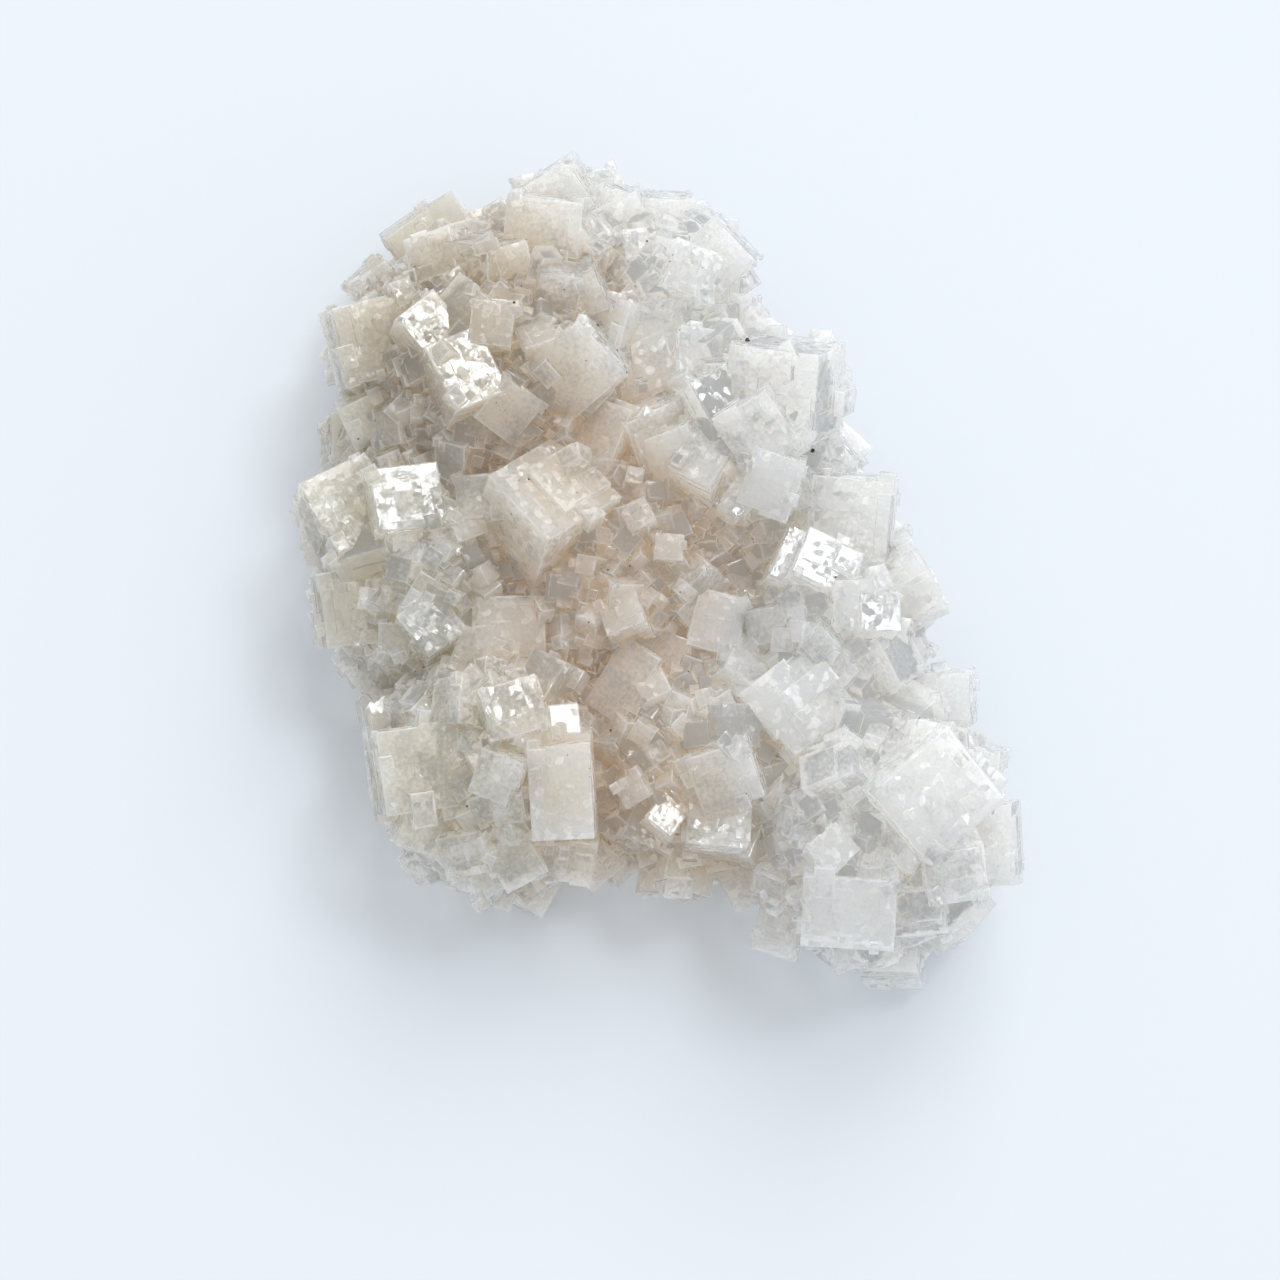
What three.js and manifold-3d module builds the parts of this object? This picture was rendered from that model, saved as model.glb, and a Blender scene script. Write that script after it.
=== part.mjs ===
// A hand-sized cluster of halite: cubic salt crystals grown together into one solid mass, lying on the flat
// underside where it broke from its bed. Millimetres, +Z up, origin at the middle of the underside.
// The mass is a core of overlapping rounded swells, with crystals standing out of it at every angle.

import * as THREE from "three";
import { mergeVertices } from "three/addons/utils/BufferGeometryUtils.js";
import Module from "manifold-3d";

// ---- driving dimensions ----

const WIDEST_HEIGHT = 8; // the swells are widest here, so that the rim overhangs the underside
const LIMIT = 200; // a block this wide is larger than the whole cluster
const DEGREE = Math.PI / 180;

// The swells of the core: middle x and y, half-widths in x and y, and the height of the top.
const SWELLS = [
  { x: -14.5, y: 18.5, rx: 16.5, ry: 16.5, top: 25 }, // upper left, the largest
  { x: -9, y: 30.5, rx: 10, ry: 9, top: 20 }, // head
  { x: 1, y: 27, rx: 7.5, ry: 9.5, top: 22 }, // upper right
  { x: -21.5, y: 1.5, rx: 12, ry: 15, top: 21 }, // left flank
  { x: -4, y: 2, rx: 17, ry: 19, top: 22 }, // middle, a shallow saddle
  { x: -15, y: -20, rx: 12, ry: 12.5, top: 22 }, // lower left foot
  { x: 8, y: 10, rx: 10.5, ry: 14, top: 25 }, // right flank
  { x: 4, y: -18.5, rx: 13, ry: 12.5, top: 20 }, // bridge above the notch
  { x: 17, y: -6.5, rx: 9.5, ry: 13.5, top: 22 }, // right shoulder
  { x: 21.5, y: -27, rx: 12, ry: 12.5, top: 24 }, // lower right foot
];

// The crystals that stand out: middle x and y, edge lengths along the crystal's own x, y and z, the turn in plan,
// the lean of its upright edges and the direction they lean towards, in degrees, and how far its middle rises
// above the core.
const GREAT_CRYSTALS = [
  // head
  { x: -9.4, y: 37.2, edges: [5.4, 5.4, 5.6], turn: 32, lean: 30, towards: 255, rise: 0.1 },
  { x: -11, y: 32.6, edges: [7.6, 5.6, 6], turn: -7, lean: 24, towards: 260, rise: 0.3 },
  { x: -21.4, y: 36.4, edges: [4.2, 4.2, 4.4], turn: 30, lean: 14, towards: 140, rise: -0.5 },
  { x: -18.2, y: 35.6, edges: [3.2, 3.2, 4], turn: 10, lean: 4, towards: 90, rise: -0.5 },
  { x: -16, y: 35.4, edges: [2.4, 2.4, 3.2], turn: 35, lean: 8, towards: 70, rise: -0.5 },
  { x: -5.4, y: 37.4, edges: [3.8, 3.8, 4.6], turn: 20, lean: 14, towards: 70, rise: -0.5 },
  { x: -3, y: 34.2, edges: [5, 5, 5], turn: 24, lean: 26, towards: 260, rise: -0.3 },
  { x: 1.2, y: 34.4, edges: [4.6, 4.4, 4.6], turn: -4, lean: 30, towards: 255, rise: -0.1 },
  { x: 5, y: 34.8, edges: [3.8, 3.8, 4.4], turn: 36, lean: 28, towards: 270, rise: -0.3 },
  { x: 6, y: 29.4, edges: [6.6, 6, 6], turn: 43, lean: 24, towards: 250, rise: 0.3 },
  { x: 8.6, y: 30.6, edges: [3, 3, 3.6], turn: 28, lean: 26, towards: 225, rise: -0.3 },
  { x: 8, y: 25.2, edges: [4.2, 4.4, 4.6], turn: -10, lean: 20, towards: 230, rise: 0.1 },
  // upper left
  { x: -24.6, y: 34.4, edges: [5.4, 5.2, 5], turn: 36, lean: 26, towards: 290, rise: -0.1 },
  { x: -21.6, y: 28.6, edges: [5, 5, 5], turn: 12, lean: 20, towards: 165, rise: -0.1 },
  { x: -28.8, y: 29.6, edges: [4.8, 4.6, 4.6], turn: 44, lean: 22, towards: 305, rise: -0.1 },
  { x: -28, y: 21.2, edges: [8.6, 7.8, 7.6], turn: 16, lean: 20, towards: 320, rise: 0.3 },
  { x: -22.4, y: 20.2, edges: [5, 5.4, 5.2], turn: 42, lean: 12, towards: 10, rise: 0.6 },
  { x: -19, y: 15.2, edges: [5.8, 7.2, 6], turn: 26, lean: 12, towards: 10, rise: 0.8 },
  { x: -16, y: 20, edges: [4.2, 4.4, 4.4], turn: -6, lean: 2, towards: 270, rise: 0.6 },
  { x: -14.2, y: 28.2, edges: [3.4, 3.2, 4], turn: 17, lean: 23, towards: 285, rise: 0.4 },
  { x: -7.2, y: 24.8, edges: [4.4, 4, 4], turn: 20, lean: 34, towards: 263, rise: 0.2 },
  { x: -7.4, y: 17, edges: [6.8, 7, 6], turn: 41, lean: 28, towards: 258, rise: 0.2 },
  { x: -14.8, y: 12.8, edges: [5, 4.8, 5], turn: 53, lean: 35, towards: 290, rise: -0.3 },
  { x: -28.6, y: 13.8, edges: [5.4, 4.6, 5], turn: 25, lean: 25, towards: 287, rise: 0.3 },
  { x: -31.6, y: 13, edges: [4, 5, 5], turn: 0, lean: 18, towards: 0, rise: 0.1 },
  // upper right
  { x: 0, y: 18.8, edges: [8.2, 7, 7], turn: 24, lean: 4, towards: 270, rise: 1 },
  { x: -4.8, y: 11, edges: [5.6, 5.4, 5.2], turn: -24, lean: 21, towards: 190, rise: -0.1 },
  { x: -0.6, y: 11, edges: [6.2, 5.6, 5.6], turn: 25, lean: 36, towards: 315, rise: 0.1 },
  { x: 3.6, y: 19, edges: [4, 4.6, 5], turn: -4, lean: 18, towards: 345, rise: 0.8 },
  { x: 13, y: 14.6, edges: [8.6, 8.8, 8.6], turn: -9, lean: 33, towards: 226, rise: 1.6 },
  { x: 18.4, y: 10.6, edges: [3.6, 3.6, 4.4], turn: 37, lean: 22, towards: 235, rise: 0.3 },
  { x: 10.2, y: 10.2, edges: [6.2, 6.4, 5.6], turn: 33, lean: 30, towards: 257, rise: 0.2 },
  { x: 11.4, y: 5.2, edges: [5.2, 5.8, 5.2], turn: -20, lean: 24, towards: 260, rise: 0.8 },
  { x: 7.6, y: 2.6, edges: [2.4, 2.4, 4], turn: 51, lean: 12, towards: 10, rise: 0.2 },
  { x: 4.8, y: 6.6, edges: [4.8, 4.8, 4.6], turn: 59, lean: 15, towards: 125, rise: -0.5 },
  // left flank
  { x: -30.8, y: 3.6, edges: [7.6, 7.6, 7.4], turn: 31, lean: 15, towards: 37, rise: 0.1 },
  { x: -24.8, y: 3.4, edges: [6.8, 6.4, 6], turn: 10, lean: 12, towards: 10, rise: 0.2 },
  { x: -17, y: 3.8, edges: [4.6, 4.4, 4.6], turn: 4, lean: 8, towards: 165, rise: 0.3 },
  { x: -30.8, y: -5.6, edges: [5.6, 6.8, 6], turn: 9, lean: 21, towards: 310, rise: 0.3 },
  { x: -22.2, y: -8.4, edges: [4.8, 5.2, 5], turn: 39, lean: 7, towards: 0, rise: 0.2 },
  // middle
  { x: -10.8, y: 2.6, edges: [9.2, 9.2, 8.6], turn: 39, lean: 25, towards: 62, rise: -0.1 },
  { x: 1.2, y: -1.4, edges: [2.8, 2.6, 4], turn: -4, lean: 6, towards: 325, rise: 0.4 },
  { x: -1.4, y: 1.4, edges: [2.8, 2.8, 3.6], turn: 27, lean: 15, towards: 143, rise: 0.1 },
  { x: -2.8, y: -8, edges: [4, 3.8, 4.4], turn: 18, lean: 18, towards: 153, rise: 0.1 },
  { x: 6, y: -8, edges: [5, 5.8, 5.4], turn: -14, lean: 7, towards: 294, rise: 0.8 },
  { x: -2.6, y: -13.8, edges: [4.4, 7.6, 4.6], turn: -34, lean: 18, towards: 198, rise: -0.3 },
  // lower left foot
  { x: -14.2, y: -8.4, edges: [6.8, 6, 6], turn: 1, lean: 4, towards: 270, rise: 0.2 },
  { x: -27, y: -15.6, edges: [4.8, 4.6, 5.2], turn: 13, lean: 12, towards: 10, rise: 0.3 },
  { x: -23.6, y: -22.4, edges: [8, 8.2, 8], turn: 9, lean: 18, towards: 320, rise: 0.3 },
  { x: -14, y: -17.8, edges: [5.8, 5.4, 5.4], turn: 17, lean: 8, towards: 14, rise: 0.1 },
  { x: -9, y: -24.8, edges: [6, 9, 7], turn: 3, lean: 20, towards: 262, rise: 1.2 },
  { x: -9.2, y: -18.6, edges: [3, 3, 4], turn: 7, lean: 12, towards: 10, rise: 0.8 },
  { x: -15, y: -23.6, edges: [4, 4.6, 5], turn: -21, lean: 24, towards: 235, rise: 0.4 },
  { x: -22.4, y: -27.4, edges: [5.6, 5.4, 5.6], turn: -19, lean: 25, towards: 300, rise: -0.3 },
  { x: -18.4, y: -29.8, edges: [4.6, 4.4, 5], turn: 13, lean: 34, towards: 257, rise: -0.1 },
  { x: -8.4, y: -29.8, edges: [5.2, 4.4, 5], turn: -8, lean: 32, towards: 264, rise: -0.1 },
  { x: -13.8, y: -30.6, edges: [4.6, 4.4, 5], turn: 31, lean: 34, towards: 283, rise: -0.3 },
  // bridge above the notch
  { x: -1.6, y: -24.2, edges: [3, 2.8, 4], turn: 28, lean: 30, towards: 220, rise: 0.1 },
  { x: 0.8, y: -27.2, edges: [3.4, 3.2, 4.4], turn: 53, lean: 12, towards: 10, rise: 0.3 },
  { x: 2.8, y: -30.4, edges: [2.4, 2.6, 4], turn: 13, lean: 12, towards: 10, rise: 0.1 },
  { x: 6, y: -27.8, edges: [6, 5.4, 5.4], turn: -4, lean: 4, towards: 35, rise: 0.3 },
  { x: 7, y: -22.8, edges: [6.2, 6, 5.4], turn: 19, lean: 30, towards: 258, rise: 0.3 },
  { x: 9.6, y: -31.6, edges: [4.8, 4.4, 5], turn: 25, lean: 33, towards: 250, rise: 0.1 },
  // right flank and shoulder
  { x: 19.6, y: 2.8, edges: [7.8, 8, 7.6], turn: -6, lean: 20, towards: 244, rise: 1 },
  { x: 12.6, y: -2.2, edges: [2.2, 5.4, 5], turn: -23, lean: 12, towards: 10, rise: 0.2 },
  { x: 15.6, y: -3, edges: [4.4, 5, 5.2], turn: -23, lean: 12, towards: 10, rise: 0.6 },
  { x: 18.2, y: -3.2, edges: [2.4, 2.6, 5], turn: -23, lean: 12, towards: 10, rise: 0.6 },
  { x: 24.6, y: -4.2, edges: [6, 6, 6], turn: 30, lean: 48, towards: 293, rise: 0.3 },
  { x: 21.4, y: -8.2, edges: [4, 3.8, 5], turn: 1, lean: 12, towards: 10, rise: 1.2 },
  { x: 16, y: -10.4, edges: [2.8, 2.8, 3.6], turn: 44, lean: 32, towards: 270, rise: 0.2 },
  { x: 14, y: -16.2, edges: [8, 7.6, 7], turn: 39, lean: 6, towards: 325, rise: 1.2 },
  { x: 24.6, y: -14.8, edges: [5.2, 6, 6], turn: -2, lean: 22, towards: 261, rise: 0.8 },
  { x: 29.4, y: -13.6, edges: [5.2, 5.4, 6], turn: 1, lean: 20, towards: 234, rise: 0.6 },
  // lower right foot
  { x: 26, y: -25.6, edges: [9.8, 9.2, 9], turn: 41, lean: 21, towards: 309, rise: 0.3 },
  { x: 32.2, y: -21, edges: [5, 5, 6], turn: -15, lean: 24, towards: 242, rise: 0.2 },
  { x: 32, y: -29.2, edges: [7, 7, 7], turn: 2, lean: 19, towards: 227, rise: 1 },
  { x: 28.4, y: -32.4, edges: [5.6, 5.4, 6], turn: 9, lean: 32, towards: 283, rise: 1 },
  { x: 18.8, y: -36, edges: [9, 7, 6.8], turn: -3, lean: 26, towards: 259, rise: 0.6 },
  { x: 16.8, y: -31.4, edges: [3.8, 3.6, 4.6], turn: 43, lean: 7, towards: 0, rise: 0.2 },
  { x: 12.8, y: -36.2, edges: [4, 5.8, 5.4], turn: -14, lean: 27, towards: 224, rise: 0.3 },
  { x: 25.6, y: -35.8, edges: [5.2, 4.8, 5.4], turn: 6, lean: 30, towards: 263, rise: -0.1 },
  { x: 21.8, y: -38.6, edges: [3.8, 3.6, 4.4], turn: 26, lean: 38, towards: 263, rise: -0.3 },
  { x: 28.4, y: -35.4, edges: [4.2, 4, 4.6], turn: 34, lean: 32, towards: 297, rise: -0.3 },
];

// The lesser crystals cover the swells between them, one for about every square of this side.
const LESSER_SPACING = 7.6;
const LESSER_EDGE = { least: 3, range: 3.2 };
const LESSER_LEAN = 50; // the most that one leans from the core's surface
const LEAST_HEIGHT = 2.5; // none starts lower than this
const SWALLOWED = 0.72; // a lesser crystal this deep in a great one is left out

// ---- placing ----

// The i-th of an even but patternless run of numbers between 0 and 1; each prime gives its own run.
function scatter(i, prime) {
  return (i * Math.sqrt(prime)) % 1;
}

// How far a point is from a swell's middle, as a share of the way to its surface.
function shareOut(swell, p) {
  const rz = swell.top - WIDEST_HEIGHT;
  return Math.hypot((p.x - swell.x) / swell.rx, (p.y - swell.y) / swell.ry, (p.z - WIDEST_HEIGHT) / rz);
}

// The height of the core's top above a point of the plan, or of its widest level beyond the core.
function coreHeight(x, y) {
  const heights = SWELLS.map((s) => {
    const flat = ((x - s.x) / s.rx) ** 2 + ((y - s.y) / s.ry) ** 2;
    return WIDEST_HEIGHT + (s.top - WIDEST_HEIGHT) * Math.sqrt(Math.max(0, 1 - flat));
  });
  return Math.max(...heights);
}

// A crystal's attitude: its own z axis along up, leant towards a direction, after a turn about itself.
function attitude(up, turn, lean, towards) {
  const t = towards * DEGREE;
  const leanAxis = new THREE.Vector3(-Math.sin(t), Math.cos(t), 0);
  const stand = new THREE.Quaternion().setFromUnitVectors(new THREE.Vector3(0, 0, 1), up);
  const leant = new THREE.Quaternion().setFromAxisAngle(leanAxis, lean * DEGREE);
  const turned = new THREE.Quaternion().setFromAxisAngle(new THREE.Vector3(0, 0, 1), turn * DEGREE);
  return stand.multiply(leant).multiply(turned);
}

// Each great crystal as its middle, edges and attitude.
function greatCrystals() {
  return GREAT_CRYSTALS.map((c) => ({
    middle: new THREE.Vector3(c.x, c.y, coreHeight(c.x, c.y) + c.rise),
    edges: c.edges,
    attitude: attitude(new THREE.Vector3(0, 0, 1), c.turn, c.lean, c.towards),
  }));
}

// True where a point lies deep in a crystal.
function swallowedBy(crystal, p) {
  const own = p.clone().sub(crystal.middle).applyQuaternion(crystal.attitude.clone().invert());
  return own.toArray().every((v, k) => Math.abs(v) < (SWALLOWED * crystal.edges[k]) / 2);
}

// Points spread evenly over each swell by the golden angle, less those inside another swell, too near the
// underside or deep in a great crystal. Each carries a crystal with its own size and attitude.
function lesserCrystals(great) {
  const golden = Math.PI * (3 - Math.sqrt(5));
  const found = [];
  let serial = 0;
  for (const s of SWELLS) {
    const radii = new THREE.Vector3(s.rx, s.ry, s.top - WIDEST_HEIGHT);
    const mean = (radii.x + radii.y + radii.z) / 3;
    const count = Math.round((4 * Math.PI * mean ** 2) / LESSER_SPACING ** 2);
    for (let j = 0; j < count; j++) {
      serial++;
      const z = 1 - (2 * j + 1) / count;
      const flat = Math.sqrt(1 - z * z);
      const out = new THREE.Vector3(flat * Math.cos(j * golden), flat * Math.sin(j * golden), z);
      const p = out.clone().multiply(radii).add(new THREE.Vector3(s.x, s.y, WIDEST_HEIGHT));
      const buried = SWELLS.some((other) => other !== s && shareOut(other, p) < 0.97);
      if (buried || p.z < LEAST_HEIGHT || great.some((c) => swallowedBy(c, p))) continue;
      const edge = LESSER_EDGE.least + LESSER_EDGE.range * scatter(serial, 2) ** 2;
      const up = out.clone().divide(radii).normalize();
      found.push({
        middle: p.addScaledVector(up, -0.1 * edge),
        edges: [edge, edge, edge * (0.8 + 0.5 * scatter(serial, 3))],
        attitude: attitude(
          up,
          90 * scatter(serial, 5),
          LESSER_LEAN * scatter(serial, 7),
          360 * scatter(serial, 11),
        ),
      });
    }
  }
  return found;
}

// ---- solids ----

const wasm = await Module();
wasm.setup();

// A closed three.js geometry as a manifold-3d solid.
function solidFrom(geometry) {
  const bare = geometry.index ? geometry.toNonIndexed() : geometry.clone();
  bare.deleteAttribute("normal");
  bare.deleteAttribute("uv");
  const merged = mergeVertices(bare, 1e-4);
  return new wasm.Manifold(
    new wasm.Mesh({
      numProp: 3,
      vertProperties: merged.attributes.position.array,
      triVerts: new Uint32Array(merged.index.array),
    }),
  );
}

// A manifold-3d solid as a three.js geometry.
function geometryFrom(solid) {
  const mesh = solid.getMesh();
  return new THREE.BufferGeometry()
    .setAttribute("position", new THREE.BufferAttribute(mesh.vertProperties, 3))
    .setIndex(new THREE.BufferAttribute(mesh.triVerts, 1));
}

function swellSolid(s) {
  const ball = new THREE.SphereGeometry(1, 12, 8);
  ball.rotateX(Math.PI / 2); // its poles point up and down
  ball.scale(s.rx, s.ry, s.top - WIDEST_HEIGHT);
  ball.translate(s.x, s.y, WIDEST_HEIGHT);
  return solidFrom(ball);
}

function crystalSolid(c) {
  const block = new THREE.BoxGeometry(...c.edges);
  block.applyQuaternion(c.attitude);
  block.translate(...c.middle.toArray());
  return solidFrom(block);
}

// Everything below the underside's plane.
function bedSolid() {
  const block = new THREE.BoxGeometry(LIMIT, LIMIT, LIMIT);
  block.translate(0, 0, -LIMIT / 2);
  return solidFrom(block);
}

// The largest body of a solid without the sealed pockets inside it, which come apart as bodies of their own.
function outerBody(solid) {
  return solid.decompose().reduce((most, body) => (body.volume() > most.volume() ? body : most));
}

function clusterGeometry() {
  const great = greatCrystals();
  const solids = [
    ...SWELLS.map(swellSolid),
    ...great.map(crystalSolid),
    ...lesserCrystals(great).map(crystalSolid),
  ];
  const grown = solids.reduce((whole, solid) => whole.add(solid));
  return geometryFrom(outerBody(grown.subtract(bedSolid())));
}

// ---- the part ----

const halite = new THREE.MeshStandardMaterial({ color: 0xd2cabd, roughness: 0.3, metalness: 0 });
halite.name = "halite";

const cluster = new THREE.Mesh(clusterGeometry(), halite);
cluster.name = "halite_cluster";

const part = new THREE.Group();
part.name = "halite_crystal_cluster";
part.add(cluster);

export default part;
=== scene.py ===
# %% [markdown]
# # A cluster of halite crystals
# Halite is rock salt. It grows as cubes, and where it is crowded the cubes grow through each other at every angle.
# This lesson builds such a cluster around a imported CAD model: thousands of cubes are worked out as arrays, grown
# together into one closed skin, and given a frosted, half-clear crystal material.

import bpy
import numpy as np
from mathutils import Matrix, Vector


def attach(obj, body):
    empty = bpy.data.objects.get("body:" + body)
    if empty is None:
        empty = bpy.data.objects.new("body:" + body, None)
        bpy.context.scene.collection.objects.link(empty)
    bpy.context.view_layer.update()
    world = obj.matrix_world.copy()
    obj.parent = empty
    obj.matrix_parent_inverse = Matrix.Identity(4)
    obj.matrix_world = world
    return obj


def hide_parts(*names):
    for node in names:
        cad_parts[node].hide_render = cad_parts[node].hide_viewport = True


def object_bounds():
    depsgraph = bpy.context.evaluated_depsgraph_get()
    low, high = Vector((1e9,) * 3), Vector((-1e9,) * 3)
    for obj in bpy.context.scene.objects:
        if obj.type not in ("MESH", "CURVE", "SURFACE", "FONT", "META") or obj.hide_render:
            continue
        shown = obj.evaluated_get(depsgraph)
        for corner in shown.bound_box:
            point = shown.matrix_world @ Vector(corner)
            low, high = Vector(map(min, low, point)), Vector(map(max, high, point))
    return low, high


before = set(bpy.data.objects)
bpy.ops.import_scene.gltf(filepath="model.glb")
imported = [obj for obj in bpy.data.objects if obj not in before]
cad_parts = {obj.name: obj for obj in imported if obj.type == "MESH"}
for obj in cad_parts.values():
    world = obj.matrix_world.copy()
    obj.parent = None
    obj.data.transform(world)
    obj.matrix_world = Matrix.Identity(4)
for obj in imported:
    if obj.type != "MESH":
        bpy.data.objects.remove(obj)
cad_box = [list(corner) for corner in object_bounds()]
print("CAD box", cad_box)

MM = 0.001  # the tables below are in millimetres, and Blender's objects in metres
DEGREE = np.pi / 180

# %% [markdown]
# ## Where the crystals stand
# The rock under the crystals is a heap of rounded swells, each the shell of an ellipsoid. They aren't seen, but
# every crystal stands on one. The great crystals are placed one by one, because they make the cluster's character.
# The same two tables shape the CAD solid, so the looks fall where the solid is.

# %% The swells and the great crystals
WIDEST_HEIGHT = 8.0
SWELLS = np.array([  # middle x and y, half-widths in x and y, height of the top
    (-14.5, 18.5, 16.5, 16.5, 25),
    (-9, 30.5, 10, 9, 20),
    (1, 27, 7.5, 9.5, 22),
    (-21.5, 1.5, 12, 15, 21),
    (-4, 2, 17, 19, 22),
    (-15, -20, 12, 12.5, 22),
    (8, 10, 10.5, 14, 25),
    (4, -18.5, 13, 12.5, 20),
    (17, -6.5, 9.5, 13.5, 22),
    (21.5, -27, 12, 12.5, 24),
], float)

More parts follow.
